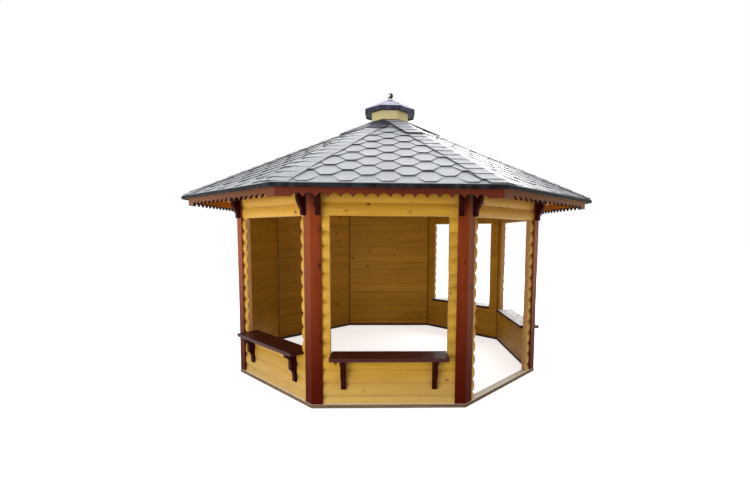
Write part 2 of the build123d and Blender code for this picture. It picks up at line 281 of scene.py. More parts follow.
# ---- materials ------------------
class Graph:
    """The node tree of a material or the world, built with short calls."""

    def __init__(self, owner, output="OutputMaterial"):
        owner.use_nodes = True
        self.owner = owner
        self.tree = owner.node_tree
        self.tree.nodes.clear()
        self.out = self.node(output)

    def node(self, kind, settings=None, **inputs):
        node = self.tree.nodes.new("ShaderNode" + kind)
        for key, value in (settings or {}).items():
            setattr(node, key, value)
        for key, value in inputs.items():
            self.put(node.inputs[key.replace("_", " ")], value)
        return node

    def put(self, socket, value):
        if isinstance(value, bpy.types.NodeSocket):
            self.tree.links.new(value, socket)
        elif value is not None:
            socket.default_value = value

    def math(self, operation, *values, clamp=False):
        node = self.node("Math", {"operation": operation, "use_clamp": clamp})
        for socket, value in zip(node.inputs, values):
            self.put(socket, value)
        return node.outputs[0]

    def vector(self, operation, *values):
        node = self.node("VectorMath", {"operation": operation})
        for socket, value in zip(node.inputs, values):
            self.put(socket, value)
        return node.outputs["Value" if operation in ("LENGTH", "DOT_PRODUCT") else "Vector"]

    def split(self, vector):
        return self.node("SeparateXYZ", Vector=vector).outputs

    def pack(self, x, y, z):
        return self.node("CombineXYZ", X=x, Y=y, Z=z).outputs[0]

    def noise(self, vector, scale=1.0, detail=2.0, roughness=0.5, distortion=0.0):
        return self.node("TexNoise", Vector=vector, Scale=scale, Detail=detail,
                         Roughness=roughness, Distortion=distortion).outputs["Fac"]

    def fit(self, value, from_low, from_high, to_low=0.0, to_high=1.0):
        node = self.node("MapRange", {"interpolation_type": "SMOOTHSTEP"}, Value=value)
        for key, number in (("From Min", from_low), ("From Max", from_high),
                            ("To Min", to_low), ("To Max", to_high)):
            node.inputs[key].default_value = number
        return node.outputs[0]

    def blend(self, share, a, b, kind="MIX"):
        node = self.node("Mix", {"data_type": "RGBA", "blend_type": kind})
        for socket, value in zip((node.inputs[0], node.inputs[6], node.inputs[7]), (share, a, b)):
            self.put(socket, value)
        return node.outputs[2]

    def shade(self, color, level):
        return self.blend(1.0, color, self.pack(level, level, level), "MULTIPLY")

    def bump(self, height, strength, distance):
        return self.node("Bump", Height=height, Strength=strength, Distance=distance).outputs[0]

    def surface(self, color, roughness, normal, **settings):
        shader = self.node("BsdfPrincipled")
        self.put(shader.inputs["Base Color"], color)
        self.put(shader.inputs["Roughness"], roughness)
        self.put(shader.inputs["Normal"], normal)
        for key, value in settings.items():
            self.put(shader.inputs[key.replace("_", " ")], value)
        self.put(self.out.inputs[0], shader.outputs[0])
        return self.owner

    def position(self):
        return self.node("NewGeometry").outputs["Position"]

    def normal(self):
        return self.node("NewGeometry").outputs["Normal"]


def material(name):
    return Graph(bpy.data.materials.new(name))


def srgb(r, g, b):
    """A colour written as 0-255 screen values, as the linear colour a socket takes."""
    def linear(c):
        c /= 255
        return c / 12.92 if c <= 0.04045 else ((c + 0.055) / 1.055) ** 2.4
    return (linear(r), linear(g), linear(b), 1.0)


def side_angle(g, x, y):
    """Angle round the axis from the middle of side 0, and the side that it is on."""
    angle = g.math("ARCTAN2", x, g.math("MULTIPLY", y, -1.0))
    return angle, g.math("ROUND", g.math("DIVIDE", angle, TURN))


def along_side(g):
    """Distance along the nearest side from its middle, and straight out from the axis."""
    x, y = g.split(g.position())[:2]
    angle, side = side_angle(g, x, y)
    off = g.math("SUBTRACT", angle, g.math("MULTIPLY", side, TURN))
    radius = g.vector("LENGTH", g.pack(x, y, 0.0))
    along = g.math("MULTIPLY", radius, g.math("SINE", off))
    return along, g.math("MULTIPLY", radius, g.math("COSINE", off))


def grain_from_uv(g):
    """(along the grain, across it, depth) for a piece with grain coordinates, and its tint."""
    uv = g.node("UVMap", {"uv_map": "grain"}).outputs[0]
    tint = g.node("Attribute", {"attribute_name": "tint"}).outputs["Fac"]
    return uv, tint


def grain_by_side(g):
    """The same for a CAD part whose grain runs along its side of the octagon."""
    place = g.position()
    x, y = g.split(place)[:2]
    side = side_angle(g, x, y)[1]
    spin = g.node("VectorRotate", {"rotation_type": "Z_AXIS"}, Vector=place,
                  Angle=g.math("MULTIPLY", side, -TURN)).outputs[0]
    along, out, up = g.split(spin)
    across = g.math("ADD", up, g.math("MULTIPLY", out, 0.7))
    shifted = g.math("ADD", along, g.math("MULTIPLY", side, 3.7))
    tint = g.math("FRACT", g.math("MULTIPLY", g.math("ADD", side, 5.0), 0.381))
    return g.pack(shifted, across, g.math("MULTIPLY", side, 1.3)), tint


def grain_upright(g):
    """The same for a CAD part whose grain runs upwards."""
    x, y, z = g.split(g.position())
    angle = g.math("ARCTAN2", y, x)
    corner = g.math("ROUND", g.math("DIVIDE", angle, TURN / 2))
    across = g.math("ADD", g.math("MULTIPLY", angle, 1.9), corner)
    tint = g.math("FRACT", g.math("MULTIPLY", g.math("ADD", corner, 9.0), 0.618))
    return g.pack(g.math("ADD", z, g.math("MULTIPLY", corner, 2.3)), across, corner), tint


KNOT_SCALE = 5.2                      # places for a knot in a metre
KNOT_R, KNOT_R_MORE = 0.022, 0.060    # radius in cells: least, and what chance adds
GROWTH = 72.0                         # radians of rings over the noise's range


def timber(g, place, tint, pale, deep, knot, knots):
    """Colour of cut timber with growth rings, fibres and knots, and its rings and fibres."""
    spots = g.node("TexVoronoi", {"voronoi_dimensions": "2D"}, Scale=KNOT_SCALE,
                   Vector=g.vector("MULTIPLY", place, (0.75, 1.0, 1.0)))
    distance, chance = spots.outputs["Distance"], g.split(spots.outputs["Color"])
    present = g.math("GREATER_THAN", chance[0], 1.0 - knots)
    size = g.math("MULTIPLY_ADD", g.math("POWER", chance[1], 2.0), KNOT_R_MORE, KNOT_R)
    reach = g.math("DIVIDE", distance, size)
    near = g.math("MULTIPLY", present, g.fit(reach, 4.0, 0.9))
    core = g.math("MULTIPLY", present, g.fit(reach, 1.15, 0.75))
    wave = g.noise(g.vector("MULTIPLY", place, (0.22, 3.6, 3.6)), 1.0, 2.0, 0.4, 0.15)
    phase = g.math("MULTIPLY_ADD", near, 0.09, wave)
    ring = g.fit(g.math("SINE", g.math("MULTIPLY", phase, GROWTH)), -0.9, 1.0)
    streak = g.noise(g.vector("MULTIPLY", place, (4.0, 240.0, 240.0)), 1.0, 3.0, 0.6)
    cloud = g.noise(g.vector("MULTIPLY", place, (0.6, 5.0, 5.0)), 1.0, 2.0)
    share = g.math("MULTIPLY_ADD", ring, 0.17, g.math("MULTIPLY", g.fit(streak, 0.3, 0.7), 0.4))
    share = g.math("MULTIPLY_ADD", g.fit(cloud, 0.3, 0.75), 0.35, share, clamp=True)
    color = g.blend(share, pale, deep)
    color = g.blend(g.math("MULTIPLY", near, 0.4), color, deep)
    color = g.blend(core, color, knot)
    return g.shade(color, g.math("MULTIPLY_ADD", tint, 0.16, 0.92)), ring, streak


def recolour_foot(g, place, color, foot, bloom):
    """Another colour towards the ground, without the bloom."""
    # Painted shade towards the ground on the corner boards; on the log boards a paler colour there.
    foot_reach = g.math("MULTIPLY", g.noise(place, 9.0, 3.0), 0.10)
    foot_reach = g.math("ADD", g.split(g.position())[2], foot_reach)
    share = g.fit(foot_reach, foot[1], 0.04, 0.0, foot[2])
    return g.blend(share, color, foot[0]), g.math("MULTIPLY_ADD", share, -bloom, bloom, clamp=True)


def paint_eave_shade(g, color, head):
    """Painted shade under the eaves: another colour, fully reached a little above a height."""
    z = g.split(g.position())[2]
    return g.blend(g.fit(z, head[1], head[1] + 0.25, 0.0, head[2]), color, head[0])


def paint_corner_shade(g, color, knot):
    """Painted shade where two walls meet inside."""
    gap = g.math("SUBTRACT", WALL_IN * TAN_H, g.math("ABSOLUTE", along_side(g)[0]))
    return g.blend(g.fit(gap, 0.022, 0.006, 0.0, 0.65), color, knot)


def paint_top_glare(g, place, color, glare_colour):
    """Painted glare on tops, in patches along the grain."""
    patch = g.noise(g.vector("MULTIPLY", place, (7.0, 26.0, 26.0)), 1.0, 4.0, 0.6)
    glare_part = g.math("MULTIPLY", g.fit(g.split(g.normal())[2], 0.6, 0.95),
                  g.fit(patch, 0.60, 0.42, 0.55, 1.0))
    return g.blend(glare_part, color, glare_colour)


def shade_edges_and_bare_back(g, color, deep, cut, back, bloom):
    """Sawn edges painted dark as shade, and a side to the building that is bare above a height; no
    bloom there.
    """
    x, y, z = g.split(g.position())
    facing = g.vector("DOT_PRODUCT", g.vector("NORMALIZE", g.pack(x, y, 0.0)), g.normal())
    edge = g.fit(g.math("ABSOLUTE", facing), 0.8, 0.5)
    inner = g.fit(facing, -0.5, -0.8)
    # sawn edges painted dark as shade
    color = g.blend(edge, color, cut)
    color = g.blend(inner, color, g.blend(g.fit(z, back[1], back[1] + 0.006), deep, back[0]))
    bloom = g.math("MULTIPLY_ADD", edge, -bloom, bloom, clamp=True)
    return color, g.math("MULTIPLY", bloom, g.math("SUBTRACT", 1.0, inner))


def wood(name, grain, pale, deep, knot, knots=0.6, foot=None, head=None, specular=0.12, bloom=0.0,
         haze=srgb(255, 228, 200), coat=0.0, corner=False, cut=None, glare_colour=None, back=None):
    """Stained timber.

    foot and head are (colour, height, share) for another colour towards the ground (painted shade
    on the corner boards, paler on the log boards) and for painted shade under the eaves, bloom a
    dusty sheen seen at a slant and haze its colour, coat a gloss varnish, corner a painted shade
    where two walls meet inside, cut the colour of sawn edges, painted dark as shade, and, with it,
    back the (colour, height) of a side turned to the building and bare above a height, bleach the
    colour of a painted glare on tops.
    """
    g = material(name)
    place, tint = grain(g)
    color, ring, streak = timber(g, place, tint, pale, deep, knot, knots)
    if foot:
        color, bloom = recolour_foot(g, place, color, foot, bloom)
    if head:
        color = paint_eave_shade(g, color, head)
    if corner:
        color = paint_corner_shade(g, color, knot)
    if glare_colour:
        color = paint_top_glare(g, place, color, glare_colour)
    if cut:
        color, bloom = shade_edges_and_bare_back(g, color, deep, cut, back, bloom)
    height = g.math("MULTIPLY_ADD", streak, 0.5, g.math("MULTIPLY", ring, -0.3))
    rough = g.math("MULTIPLY_ADD", streak, 0.16, 0.37)
    return g.surface(color, rough, g.bump(height, 0.25, 0.0006), Specular_IOR_Level=specular,
                     Coat_Weight=coat, Coat_Roughness=0.12, Sheen_Weight=bloom,
                     Sheen_Roughness=0.45, Sheen_Tint=haze)


PINE = (srgb(228, 180, 62), srgb(192, 138, 24), srgb(112, 60, 20))
ROOM_PINE = (srgb(206, 154, 50), srgb(168, 116, 24), srgb(70, 34, 12))
ROOF_PINE = (srgb(222, 160, 46), srgb(180, 112, 20), srgb(84, 40, 12))
DRUM_PINE = (srgb(255, 242, 188), srgb(255, 226, 150), srgb(190, 134, 70))
RED = (srgb(158, 68, 22), srgb(110, 36, 8), srgb(48, 12, 4))
FASCIA_RED = (srgb(120, 50, 30), srgb(78, 26, 14), srgb(36, 12, 8))
MAROON = (srgb(80, 28, 26), srgb(46, 14, 14), srgb(20, 5, 7))
BRACKET = (srgb(62, 14, 12), srgb(36, 6, 6), srgb(16, 3, 3))


def log_material():
    # foot makes the boards paler towards the ground; head is painted shade under the eaves.
    return wood("pine_log_boards", grain_from_uv, *PINE, foot=(srgb(222, 194, 134), 0.5, 0.45),
                head=(srgb(122, 74, 14), 1.95, 0.9), specular=0.22, bloom=0.5)


def end_material():
    """Sawn ends of the log boards: paler, with the rings cut across."""
    g = material("pine_board_ends")
    ring = g.node("TexWave", {"wave_type": "RINGS", "rings_direction": "SPHERICAL"},
                  Vector=grain_from_uv(g)[0], Scale=55.0, Distortion=1.5, Detail=2.0).outputs["Fac"]
    color = g.blend(g.math("MULTIPLY", ring, 0.6), srgb(204, 154, 96), srgb(158, 108, 58))
    return g.surface(color, 0.6, g.bump(ring, 0.2, 0.0004))


def shingle_material():
    """Mineral granules, a little different from tab to tab; darker towards one corner as painted
    shade, and duller there.
    """
    g = material("roof_shingles")
    uv, tint = grain_from_uv(g)
    place = g.position()
    corner_shade = g.vector("DOT_PRODUCT", place, (0.707, -0.707, 0.0))
    corner_shade = g.math("MULTIPLY_ADD", g.noise(place, 3.0, 3.0), 0.5, corner_shade)
    corner_shade = g.fit(corner_shade, 1.25, 2.15)
    grit = g.noise(uv, 520.0, 2.0, 0.7)
    patch = g.noise(uv, 3.5, 3.0, 0.6)
    color = g.blend(g.fit(grit, 0.35, 0.65), srgb(168, 172, 178), srgb(230, 234, 240))
    level = g.math("MULTIPLY_ADD", tint, 0.14, 0.86)
    color = g.shade(color, g.math("MULTIPLY", level, g.math("MULTIPLY_ADD", patch, 0.25, 0.88)))
    # painted shade towards one corner
    color = g.blend(g.math("MULTIPLY", corner_shade, 0.75), color, srgb(84, 86, 90))
    rough = g.math("MULTIPLY_ADD", corner_shade, 0.3, 0.5)
    return g.surface(color, rough, g.bump(grit, 0.35, 0.0010), Specular_IOR_Level=0.4)


def bitumen_material():
    """Cut edges and backs of the shingles, with painted light making them pale on one side."""
    g = material("shingle_edges")
    place = g.position()
    grain = g.noise(place, 240.0, 2.0)
    color = g.blend(grain, srgb(26, 26, 30), srgb(54, 54, 60))
    x, y = g.split(place)[:2]
    heading = g.vector("NORMALIZE", g.pack(x, y, 0.0))
    # painted light: pale edges on the side the light comes from
    dust_and_painted_light = g.fit(g.vector("DOT_PRODUCT", heading, (0.57, -0.82, 0.0)), 0.53, 0.60)
    color = g.blend(dust_and_painted_light, color, srgb(206, 208, 212))
    return g.surface(color, 0.85, g.bump(grain, 0.4, 0.001), Specular_IOR_Level=0.05)


def sheet_material(name, pale, deep, roughness, metallic, specular=0.5):
    """Folded sheet with faint dents, dust and rubbed streaks."""
    g = material(name)
    place = g.position()
    dust_and_painted_light = g.noise(place, 14.0, 4.0, 0.65)
    streak = g.noise(g.vector("MULTIPLY", place, (60.0, 60.0, 6.0)), 1.0, 2.0)
    share = g.math("MULTIPLY", g.fit(dust_and_painted_light, 0.35, 0.7), g.math("MULTIPLY_ADD", streak, 0.6, 0.4))
    color = g.blend(share, deep, pale)
    rough = g.math("MULTIPLY_ADD", dust_and_painted_light, 0.2, roughness - 0.1)
    dents = g.noise(place, 9.0, 1.0)
    return g.surface(color, rough, g.bump(dents, 0.15, 0.004), Metallic=metallic,
                     Specular_IOR_Level=specular)


def weathered_material():
    """Grey sawn timber at the ground, with a painted highlight on top and painted shade on the room
    side.
    """
    g = material("weathered_timber")
    place = grain_by_side(g)[0]
    streak = g.noise(g.vector("MULTIPLY", place, (4.0, 120.0, 120.0)), 1.0, 4.0, 0.65)
    patch = g.noise(place, 5.0, 4.0, 0.6)
    color = g.blend(g.fit(streak, 0.3, 0.7), srgb(146, 120, 86), srgb(92, 70, 48))
    color = g.blend(g.fit(patch, 0.5, 0.75, 0.0, 0.6), color, srgb(62, 46, 34))
    # painted highlight on the top faces
    color = g.blend(g.fit(g.split(g.normal())[2], 0.5, 0.9), color, srgb(255, 250, 234))
    # painted shade on the side to the room
    room_side_shade = g.fit(along_side(g)[1], WALL_IN + 0.012, WALL_IN + 0.004)
    color = g.blend(room_side_shade, color, srgb(52, 24, 16))
    return g.surface(color, 0.8, g.bump(streak, 0.6, 0.0015))


def block_material():
    g = material("pale_block")
    grain = g.noise(g.vector("MULTIPLY", g.position(), (90.0, 90.0, 12.0)), 1.0, 3.0)
    color = g.blend(grain, srgb(255, 255, 255), srgb(240, 240, 248))
    return g.surface(color, 0.5, g.bump(grain, 0.2, 0.0005))


def ball_material():
    """Polished metal, with a painted dark green reflection on one side, rougher there."""
    g = material("polished_ball")
    place = g.position()
    film = g.noise(place, 30.0, 3.0)
    color = g.blend(g.fit(film, 0.4, 0.7), srgb(226, 228, 214), srgb(176, 182, 160))
    centre = (low("finial_ball").z + high("finial_ball").z) / 2
    offset = g.vector("SUBTRACT", place, (0.0, 0.0, centre))
    # painted reflection: darker and greener on one side
    dark_side_facing = g.vector("DOT_PRODUCT", offset, (0.60, -0.60, -0.52))
    painted_dark_reflection = g.fit(g.math("MULTIPLY_ADD", film, 0.02, dark_side_facing), 0.002, 0.026)
    color = g.blend(painted_dark_reflection, color, srgb(64, 66, 50))
    rough = g.math("MULTIPLY_ADD", painted_dark_reflection, 0.4, g.math("MULTIPLY_ADD", film, 0.12, 0.14))
    return g.surface(color, rough, None, Metallic=1.0)


def screw_material():
    """Steel, stained over with the boards."""
    g = material("screw_steel")
    wear = g.noise(g.position(), 300.0, 2.0)
    color = g.blend(wear, srgb(112, 50, 26), srgb(84, 36, 18))
    return g.surface(color, 0.5, g.bump(wear, 0.2, 0.0003), Metallic=0.3, Specular_IOR_Level=0.1)


# ---- log boards -----------------
LOG_R = (COURSE ** 2 / 4 + LOG_DEPTH ** 2) / (2 * LOG_DEPTH)
LOG_BEVEL = 0.0015
LOG_STEPS = 12                        # points over the round side of a whole board
TONGUE_HALF = 0.006
TONGUE_H = 0.008


def log_section(bottom, top, middle, tongue):
    """Outline of one log board, as (distance out, height): round outside, grooved inside."""
    points = []
    steps = max(3, round(LOG_STEPS * (top - bottom) / COURSE))
    for i in range(steps + 1):
        z = bottom + (top - bottom) * i / steps
        points.append((CREST - LOG_R + math.sqrt(LOG_R ** 2 - (z - middle) ** 2), z))
    points[0] = (points[0][0], bottom + GAP)
    points[-1] = (points[-1][0], top - GAP)
    if tongue:
        centre = (WALL_IN + CREST - LOG_DEPTH) / 2
        near, far = centre + TONGUE_HALF, centre - TONGUE_HALF
        points += [(near, top - GAP), (near, top + TONGUE_H),
                   (far, top + TONGUE_H), (far, top - GAP)]
    points += [(WALL_IN + GROOVE, top - GAP / 2), (WALL_IN, top - GROOVE),
               (WALL_IN, bottom + GROOVE), (WALL_IN + GROOVE, bottom + GAP / 2)]
    return points


def end_ring(section, x_at, inset):
    """Section at an end, drawn in by inset towards its own middle."""
    mid_out = sum(p[0] for p in section) / len(section)
    mid_z = (section[0][1] + section[-5][1]) / 2
    ring = []
    for out, z in section:
        o = out + inset * (1 if out < mid_out else -1)
        h = z + inset * (1 if z < mid_z else -1)
        ring.append(at(x_at(o), o, h))
    return ring


def log_stack(shape, bottom, top, left, right):
    """Boards one above another on side 0; left and right give the ends at a distance out."""
    board = math.floor((bottom - FIRST_JOINT) / COURSE + 1e-6)
    z = bottom
    while z < top - 1e-6:
        middle = FIRST_JOINT + (board + 0.5) * COURSE
        upper = min(top, FIRST_JOINT + (board + 1) * COURSE)
        section = log_section(z, upper, middle, upper < top - 0.001)
        rings = [end_ring(section, left, LOG_BEVEL),
                 [at(left(o) + LOG_BEVEL, o, h) for o, h in section],
                 [at(right(o) - LOG_BEVEL, o, h) for o, h in section],
                 end_ring(section, right, LOG_BEVEL)]
        inside = range(len(section) - 4, len(section) - 1)
        shape.loft(rings, 1, [(i, 2) for i in inside])
        z = upper
        board += 1


def mitre(sign):
    """Board end cut along the joint with the next side."""
    return lambda out: sign * (out * TAN_H - 0.0004)


def flat_end(x):
    return lambda out: x


def make_logs(name, k, node, *stacks):
    shape = Shape()
    for stack in stacks:
        log_stack(shape, *stack)
    return shape.turned(k).piece(name, [LOGS, ENDS, LOGS_INSIDE], "pine_log_boards", [node])


def log_walls():
    left, right = mitre(-1), mitre(1)
    for k in SOLID_SIDES:
        side = SIDE_NAMES[k]
        make_logs(f"logs_{side}", k, f"wall_{side}", (RING_H, WALL_TOP, left, right))
    openings = [(k, SIDE_NAMES[k], SILL_BOTTOM, "window") for k in WINDOW_SIDES]
    openings.append((0, "front", RING_H, "entrance"))
    for k, side, foot, kind in openings:
        tail = f"_{side}" if kind == "window" else ""
        if kind == "window":
            make_logs(f"logs_below_window_{side}", k, f"wall_below_window_{side}",
                      (RING_H, SILL_BOTTOM, left, right))
        make_logs(f"logs_{kind}_jambs_{side}", k, f"{kind}_jambs{tail}",
                  (foot, OPENING_TOP, left, flat_end(-OPENING_HALF)),
                  (foot, OPENING_TOP, flat_end(OPENING_HALF), right))
        make_logs(f"logs_{kind}_header_{side}", k, f"{kind}_header{tail}",
                  (OPENING_TOP, WALL_TOP, left, right))


# ---- roof -----------------------
def roof_boards():
    """Boards of the roof deck, parallel to the eaves, with a V joint underneath."""
    shape = Shape()
    lower = 0.0
    length = (DECK_EDGE - HUB) / math.cos(SLOPE)
    thick = DECK_T * math.cos(SLOPE)
    start = (EAVE - DECK_EDGE) / math.cos(SLOPE)
    while lower < length - 0.01:
        upper = min(length, lower + ROOF_BOARD)
        a, b = lower + GAP / 2, upper - GAP / 2
        section = [(a, 0.0), (b, 0.0), (b, ROOF_GROOVE - thick), (upper - ROOF_GROOVE, -thick),
                   (lower + ROOF_GROOVE, -thick), (a, ROOF_GROOVE - thick)]
        rings = []
        for sign in (-1, 1):
            ring = []
            for up, lift in section:
                p = on_roof(0, start + up, lift)
                ring.append(at(sign * (-p.y * TAN_H - 0.0005), -p.y, p.z))
            rings.append(ring)
        shape.loft(rings)
        lower = upper
    whole = Shape()
    for k in range(SIDES):
        side = shape.turned(k)
        side.coords = [(u + 7.3 * k, v + 3.1 * k) for u, v in side.coords]
        whole.join(side)
    return whole.piece("roof_boards", [ROOF_WOOD], "pine_roof_timber", ["roof_deck"])


def grit_shift():
    return random.uniform(0, GRIT_SPREAD), random.uniform(0, GRIT_SPREAD)


def tab(shape, outline, middle, start, layers, curl, tint):
    """One shingle tab: outline is (along, up the slope), clipped to its side of the roof.

    It starts on top of some layers, lies on the rows below and turns up at its lower right corner.
    """
    def lift(x, up):
        fall = SHINGLE_T * (up - start) / SHINGLE_ROW if layers > STARTER_LAYERS else 0.0
        bend = max(0.0, 1 - (up - start) / (0.75 * SHINGLE_ROW))
        return layers * SHINGLE_T - fall + curl * bend * (0.5 + 1.2 * (x - middle) / SHINGLE_PITCH)

    for sign in (-1, 1):
        def inside(p, sign=sign):
            point = on_roof(p[0], p[1], lift(*p))
            return -point.y * TAN_H - sign * p[0]
        outline = clip(outline, inside)
    if len(outline) < 3:
        return
    du, dv = grit_shift()
    top = [on_roof(x, up, lift(x, up)) for x, up in outline]
    under = [on_roof(x, up, lift(x, up) - TAB_T) for x, up in outline]
    coords = [(x + du, up + dv) for x, up in outline]
    shape.face(top, coords, 0, tint)
    shape.face(under[::-1], coords[::-1], 1, tint)
    rim_slot = 1 if layers > STARTER_LAYERS else 0
    for i in range(len(outline)):
        j = (i + 1) % len(outline)
        shape.face([under[i], under[j], top[j], top[i]],
                   [coords[i], coords[j], coords[j], coords[i]], rim_slot, tint)


def starter_row(shape, columns):
    half, low_edge, top_edge = SHINGLE_PITCH / 2, STARTER_UP, 2 * SHINGLE_ROW
    for i in columns:
        x = i * SHINGLE_PITCH
        strip = [(x - half, low_edge), (x + half, low_edge), (x + half, top_edge),
                 (x - half, top_edge)]
        tab(shape, strip, x, low_edge, STARTER_LAYERS, 0.0, random.random())


def shingle_row(shape, r, columns, curl):
    """Row r of the strips of three tabs; a strip has its own slip, height and shade."""
    start = SHINGLE_START + r * SHINGLE_ROW
    end = min(SHINGLE_END, start + 2 * SHINGLE_ROW + 0.02)
    if end < start + SHINGLE_ROW + 0.01:
        return
    half = SHINGLE_PITCH / 2
    flat = SHINGLE_FLAT * half
    shoulder = half - flat
    slip = rise = shade = 0.0
    for i in columns:
        if (i + r) % 3 == 0:
            slip, rise = random.uniform(-0.004, 0.004), random.uniform(-0.0025, 0.0025)
            shade = random.uniform(0.0, 0.6)
        x = SHINGLE_SHIFT + (i + 0.5 * (r % 2)) * SHINGLE_PITCH + slip
        foot, neck = start + rise, start + rise + SHINGLE_ROW
        outline = [(x - flat, foot), (x + flat, foot), (x + shoulder, neck), (x + half, neck),
                   (x + half, end), (x - half, end), (x - half, neck), (x - shoulder, neck)]
        tab(shape, outline, x, foot, FIRST_LAYERS if r == 0 else LAYERS,
            curl * random.uniform(0.3, 1.0), shade + random.uniform(0.0, 0.4))


def shingle_side(k):
    """Rows of hexagonal tabs, every other one moved by half a tab, over a straight starter row."""
    shape = Shape()
    count = int(EAVE * TAN_H / SHINGLE_PITCH) + 2
    columns = range(-count, count + 1)
    starter_row(shape, columns)
    curl = FLAT_CURL if k in SUNNY_SIDES else LOOSE_CURL
    for r in range(int((SHINGLE_END - SHINGLE_START) / SHINGLE_ROW) + 1):
        shingle_row(shape, r, columns, curl)
    return shape.turned(k).piece(f"shingles_{SIDE_NAMES[k]}", [SHINGLES, BITUMEN],
                                 "roof_shingles", smooth=20)


def hip_point(up, across, lift):
    """Point beside the hip between side 0 and side 1, up the roof and across it on either side."""
    out = EAVE - up * math.cos(SLOPE)
    p = on_roof(out * TAN_H - abs(across) / HIP_LEAN, up, lift)
    limit = -p.y * TAN_H
    p.x = min(p.x, limit) if abs(across) > 1e-6 else limit
    if across <= 0:
        return p
    mirror = Vector((-p.x, p.y, p.z))
    return Matrix.Rotation(TURN, 3, "Z") @ mirror


def hip_cap(shape, span, layers, fall, left, right, loose):
    """One cap bent over the hip; its lower left corner is loose, its right edge lies down.

    span is where it starts and ends up the roof, layers and fall in sheets of shingle.
    """
    start, end = span
    base, fall = layers * SHINGLE_T, fall * SHINGLE_T
    across = [-left, -left * 0.5, -0.008, 0.0, 0.008, right * 0.5, right]
    curls = [loose, loose * 0.4, 0.001, 0.001, 0.0, -0.0022, -0.0034]
    tint = random.random()
    du, dv = grit_shift()
    rows = [(start + t * (end - start), [base - fall * t + curl * c for c in curls])
            for t, curl in ((0.0, 1.0), (0.35, 0.3), (1.0, 0.0))]
    top = [[hip_point(up, a, h) for a, h in zip(across, lifts)] for up, lifts in rows]
    under = [[hip_point(up, a, h - TAB_T) for a, h in zip(across, lifts)] for up, lifts in rows]
    n = len(across)

    def coord(q, c):
        return across[c] + du, rows[q][0] + dv

    for r in range(len(rows) - 1):
        for i in range(n - 1):
            ids = ((r, i), (r, i + 1), (r + 1, i + 1), (r + 1, i))
            coords = [coord(q, c) for q, c in ids]
            shape.face([top[q][c] for q, c in ids], coords, 0, tint)
            shape.face([under[q][c] for q, c in ids][::-1], coords[::-1], 1, tint)
    rim = [*[(0, i) for i in range(n)], (1, n - 1), *[(2, i) for i in reversed(range(n))], (1, 0)]
    for (q, c), (q2, c2) in zip(rim, rim[1:] + rim[:1]):
        sunny = loose < 0.0 or loose < 0.003 and min(c, c2) >= 3
        shape.face([under[q][c], under[q2][c2], top[q2][c2], top[q][c]], [coord(q, c)] * 4,
                   0 if sunny else 1, tint)


def hip_caps():
    """Overlapping caps from a corner piece at the eaves up to the apron, on one hip over it."""
    whole = Shape()
    skirt = (EAVE - APRON_EDGE) / math.cos(SLOPE)
    for k in range(SIDES):
        shape = Shape()
        capped = k == CAPPED_HIP
        last = SHINGLE_END if capped else skirt + 0.06
        hip_cap(shape, CORNER_CAP, CORNER_LAYERS, CORNER_FALL, HIP_CAP_RIGHT, HIP_CAP_RIGHT, 0.0)
        start = HIP_CAP_START
        while start < last - 0.05:
            end = min(last, start + 2 * HIP_CAP_ROW)
            layers = SUNNY_CAP_LAYERS if k in SUNNY_HIPS else CAP_LAYERS
            if capped and end > skirt:
                layers += OVER_APRON
            highest = not capped and start + HIP_CAP_ROW > last - 0.05
            wobble = random.uniform(-0.010, 0.010)
            loose = 0.002 + random.uniform(0.3, 1.0) * HIP_CAP_LOOSE
            if k in SUNNY_HIPS:
                loose = 0.002 if capped else -0.0015
            hip_cap(shape, (start, end), layers, LAST_CAP_FALL if highest else CAP_FALL,
                    HIP_CAP_LEFT + wobble, HIP_CAP_RIGHT - wobble, loose)
            start += HIP_CAP_ROW
        whole.join(shape.turned(k))
    return whole.piece("hip_caps", [SHINGLES, BITUMEN], "roof_shingles", smooth=20)


def sided_sheet(shape, section):
    """A section in (distance out, height) run round the octagon, mitred at the corners."""
    for k in range(SIDES):
        panel = Shape()
        panel.loft([[at(sign * o * TAN_H, o, z) for o, z in section] for sign in (-1, 1)])
        shape.join(panel.turned(k))


def hip_seam(k, ends, z_at, half_width, half_height):
    """Rolled seam over a hip, between two distances out from the axis."""
    seam = Shape()
    across = Vector((math.cos(TURN / 2), math.sin(TURN / 2), 0)) * half_width
    up = Vector((0, 0, half_height))
    seam.loft([circle(at(o * TAN_H, o, z_at(o)), across, up, 8) for o in ends])
    return seam.turned(k)


def apron_z(out, more=0.0):
    return PEAK - out * RISE + APRON_LIFT / math.cos(SLOPE) + more


def apron_section(edge, fold):
    """Apron section in (distance out, height), from its fold at the drum to its hemmed edge."""
    t = APRON_SHEET
    return [(fold, APRON_TOP), (fold + t, APRON_TOP), (fold + t, apron_z(fold + 0.006, 0.004)),
            (fold + 0.007, apron_z(fold + 0.007, t)), (edge - 0.006, apron_z(edge - 0.006, t)),
            (edge, apron_z(edge, -0.001)), (edge, apron_z(edge, -0.009)),
            (edge - t, apron_z(edge, -0.009)), (edge - t, apron_z(edge, -0.002)),
            (edge - 0.007, apron_z(edge - 0.007)), (fold + 0.006, apron_z(fold + 0.006)),
            (fold, apron_z(fold, 0.005))]


